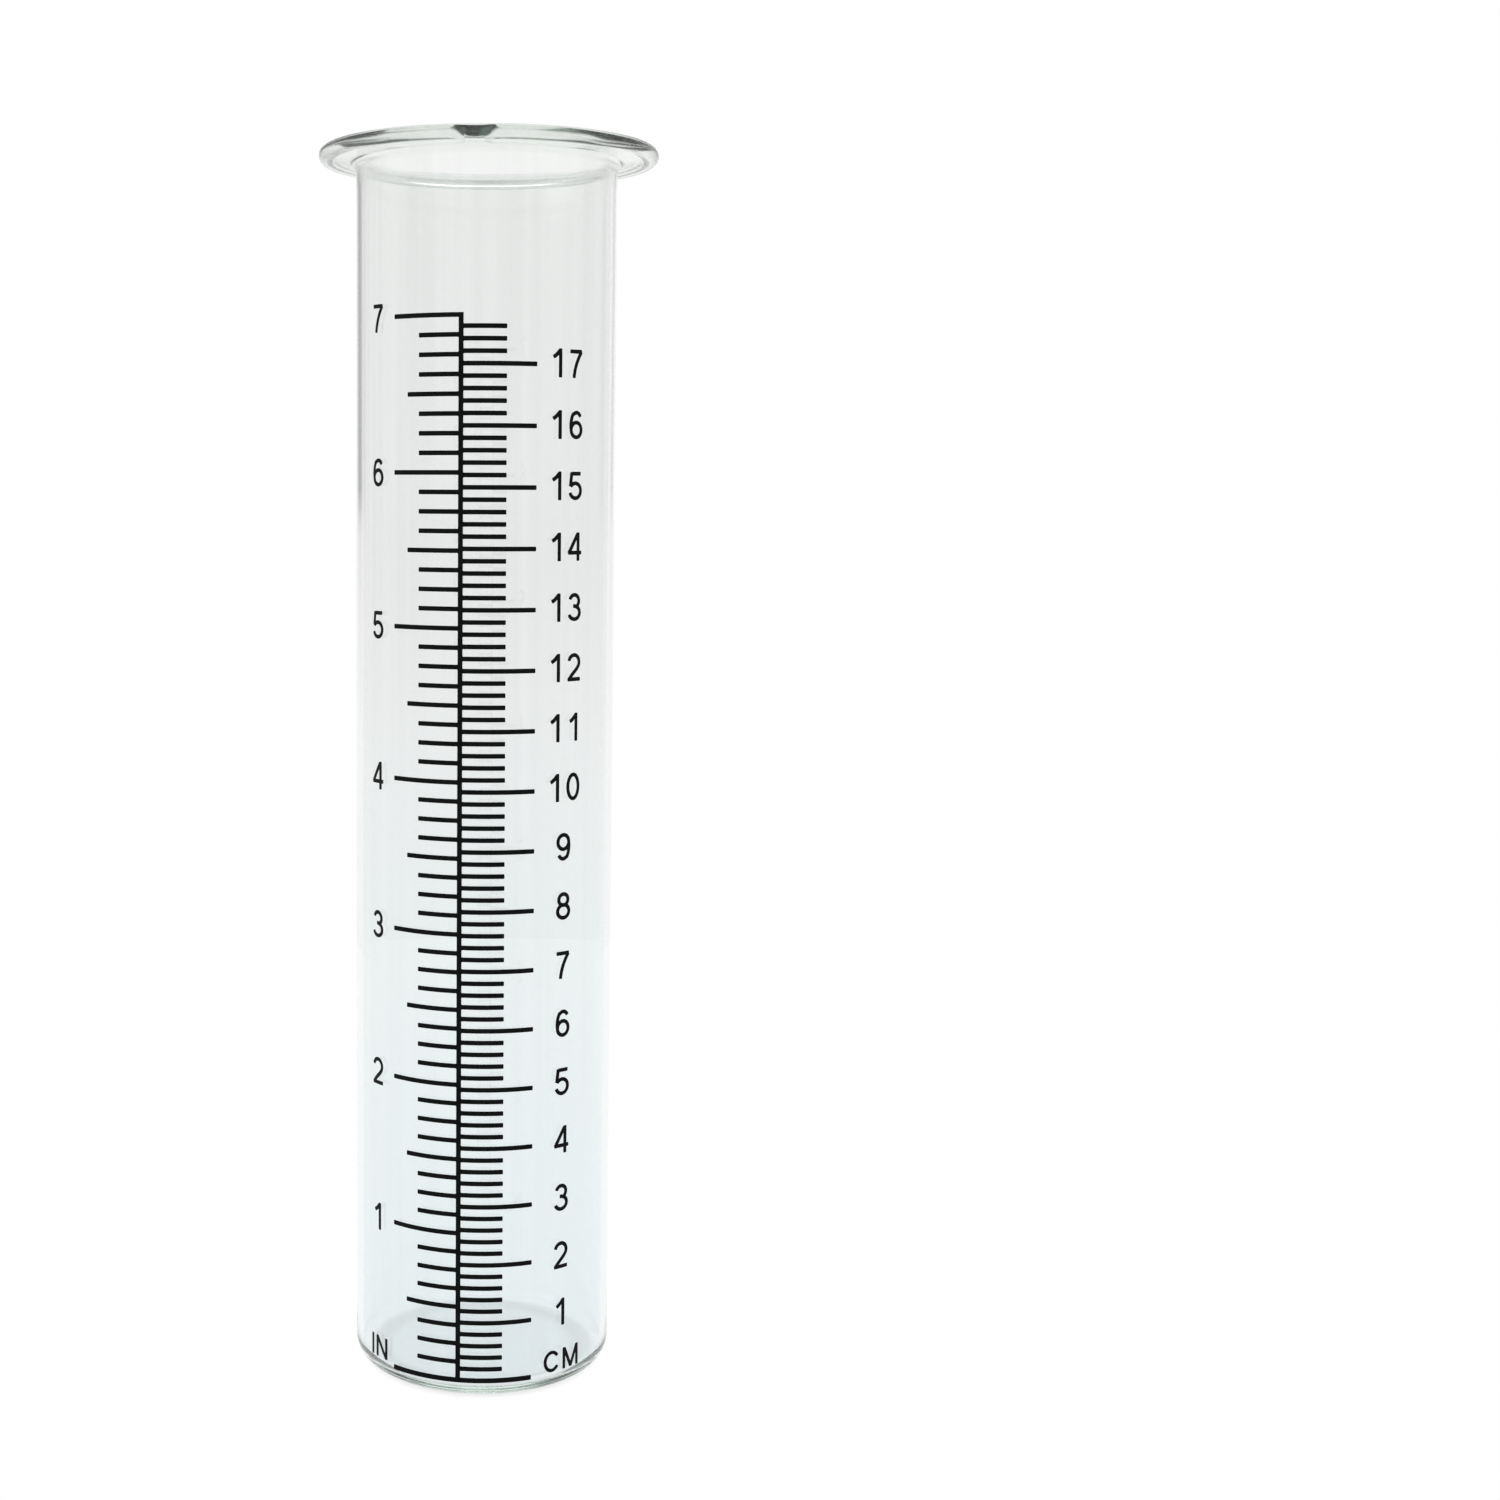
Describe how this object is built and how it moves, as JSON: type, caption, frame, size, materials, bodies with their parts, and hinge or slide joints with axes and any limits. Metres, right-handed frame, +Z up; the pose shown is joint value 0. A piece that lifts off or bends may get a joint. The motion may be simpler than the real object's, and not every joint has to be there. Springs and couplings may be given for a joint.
{
  "type": "manual rain gauge",
  "caption": "Clear glass rain gauge tube with a closed round-cornered base, a flared flat rim and a printed inch and centimetre ruler on its wall.",
  "frame": {"origin": "centre of the underside of the base, on the tube's axis", "axes": "+Z up along the tube's axis, from the base to the rim; the ruler's upright line is on the -Y side and the centimetre marks run towards +X"},
  "size_m": [0.0586, 0.0586, 0.2107],
  "materials": {
    "clear_glass": "smooth clear glass with a faint grey-green tint in its thick edges",
    "black_enamel": "near-black printed enamel, slightly glossy"
  },
  "bodies": {
    "root": {"glass_tube": "clear_glass", "print_cm_1": "black_enamel", "print_cm_10_tens": "black_enamel", "print_cm_10_units": "black_enamel", "print_cm_11_tens": "black_enamel", "print_cm_11_units": "black_enamel", "print_cm_12_tens": "black_enamel", "print_cm_12_units": "black_enamel", "print_cm_13_tens": "black_enamel", "print_cm_13_units": "black_enamel", "print_cm_14_tens": "black_enamel", "print_cm_14_units": "black_enamel", "print_cm_15_tens": "black_enamel", "print_cm_15_units": "black_enamel", "print_cm_16_tens": "black_enamel", "print_cm_16_units": "black_enamel", "print_cm_17_tens": "black_enamel", "print_cm_17_units": "black_enamel", "print_cm_2": "black_enamel", "print_cm_3": "black_enamel", "print_cm_4": "black_enamel", "print_cm_5": "black_enamel", "print_cm_6": "black_enamel", "print_cm_7": "black_enamel", "print_cm_8": "black_enamel", "print_cm_9": "black_enamel", "print_inch_1": "black_enamel", "print_inch_2": "black_enamel", "print_inch_3": "black_enamel", "print_inch_4": "black_enamel", "print_inch_5": "black_enamel", "print_inch_6": "black_enamel", "print_inch_7": "black_enamel", "print_ruler_lines": "black_enamel", "print_unit_CM_C": "black_enamel", "print_unit_CM_M": "black_enamel", "print_unit_IN_I": "black_enamel", "print_unit_IN_N": "black_enamel"}
  },
  "joints": []
}
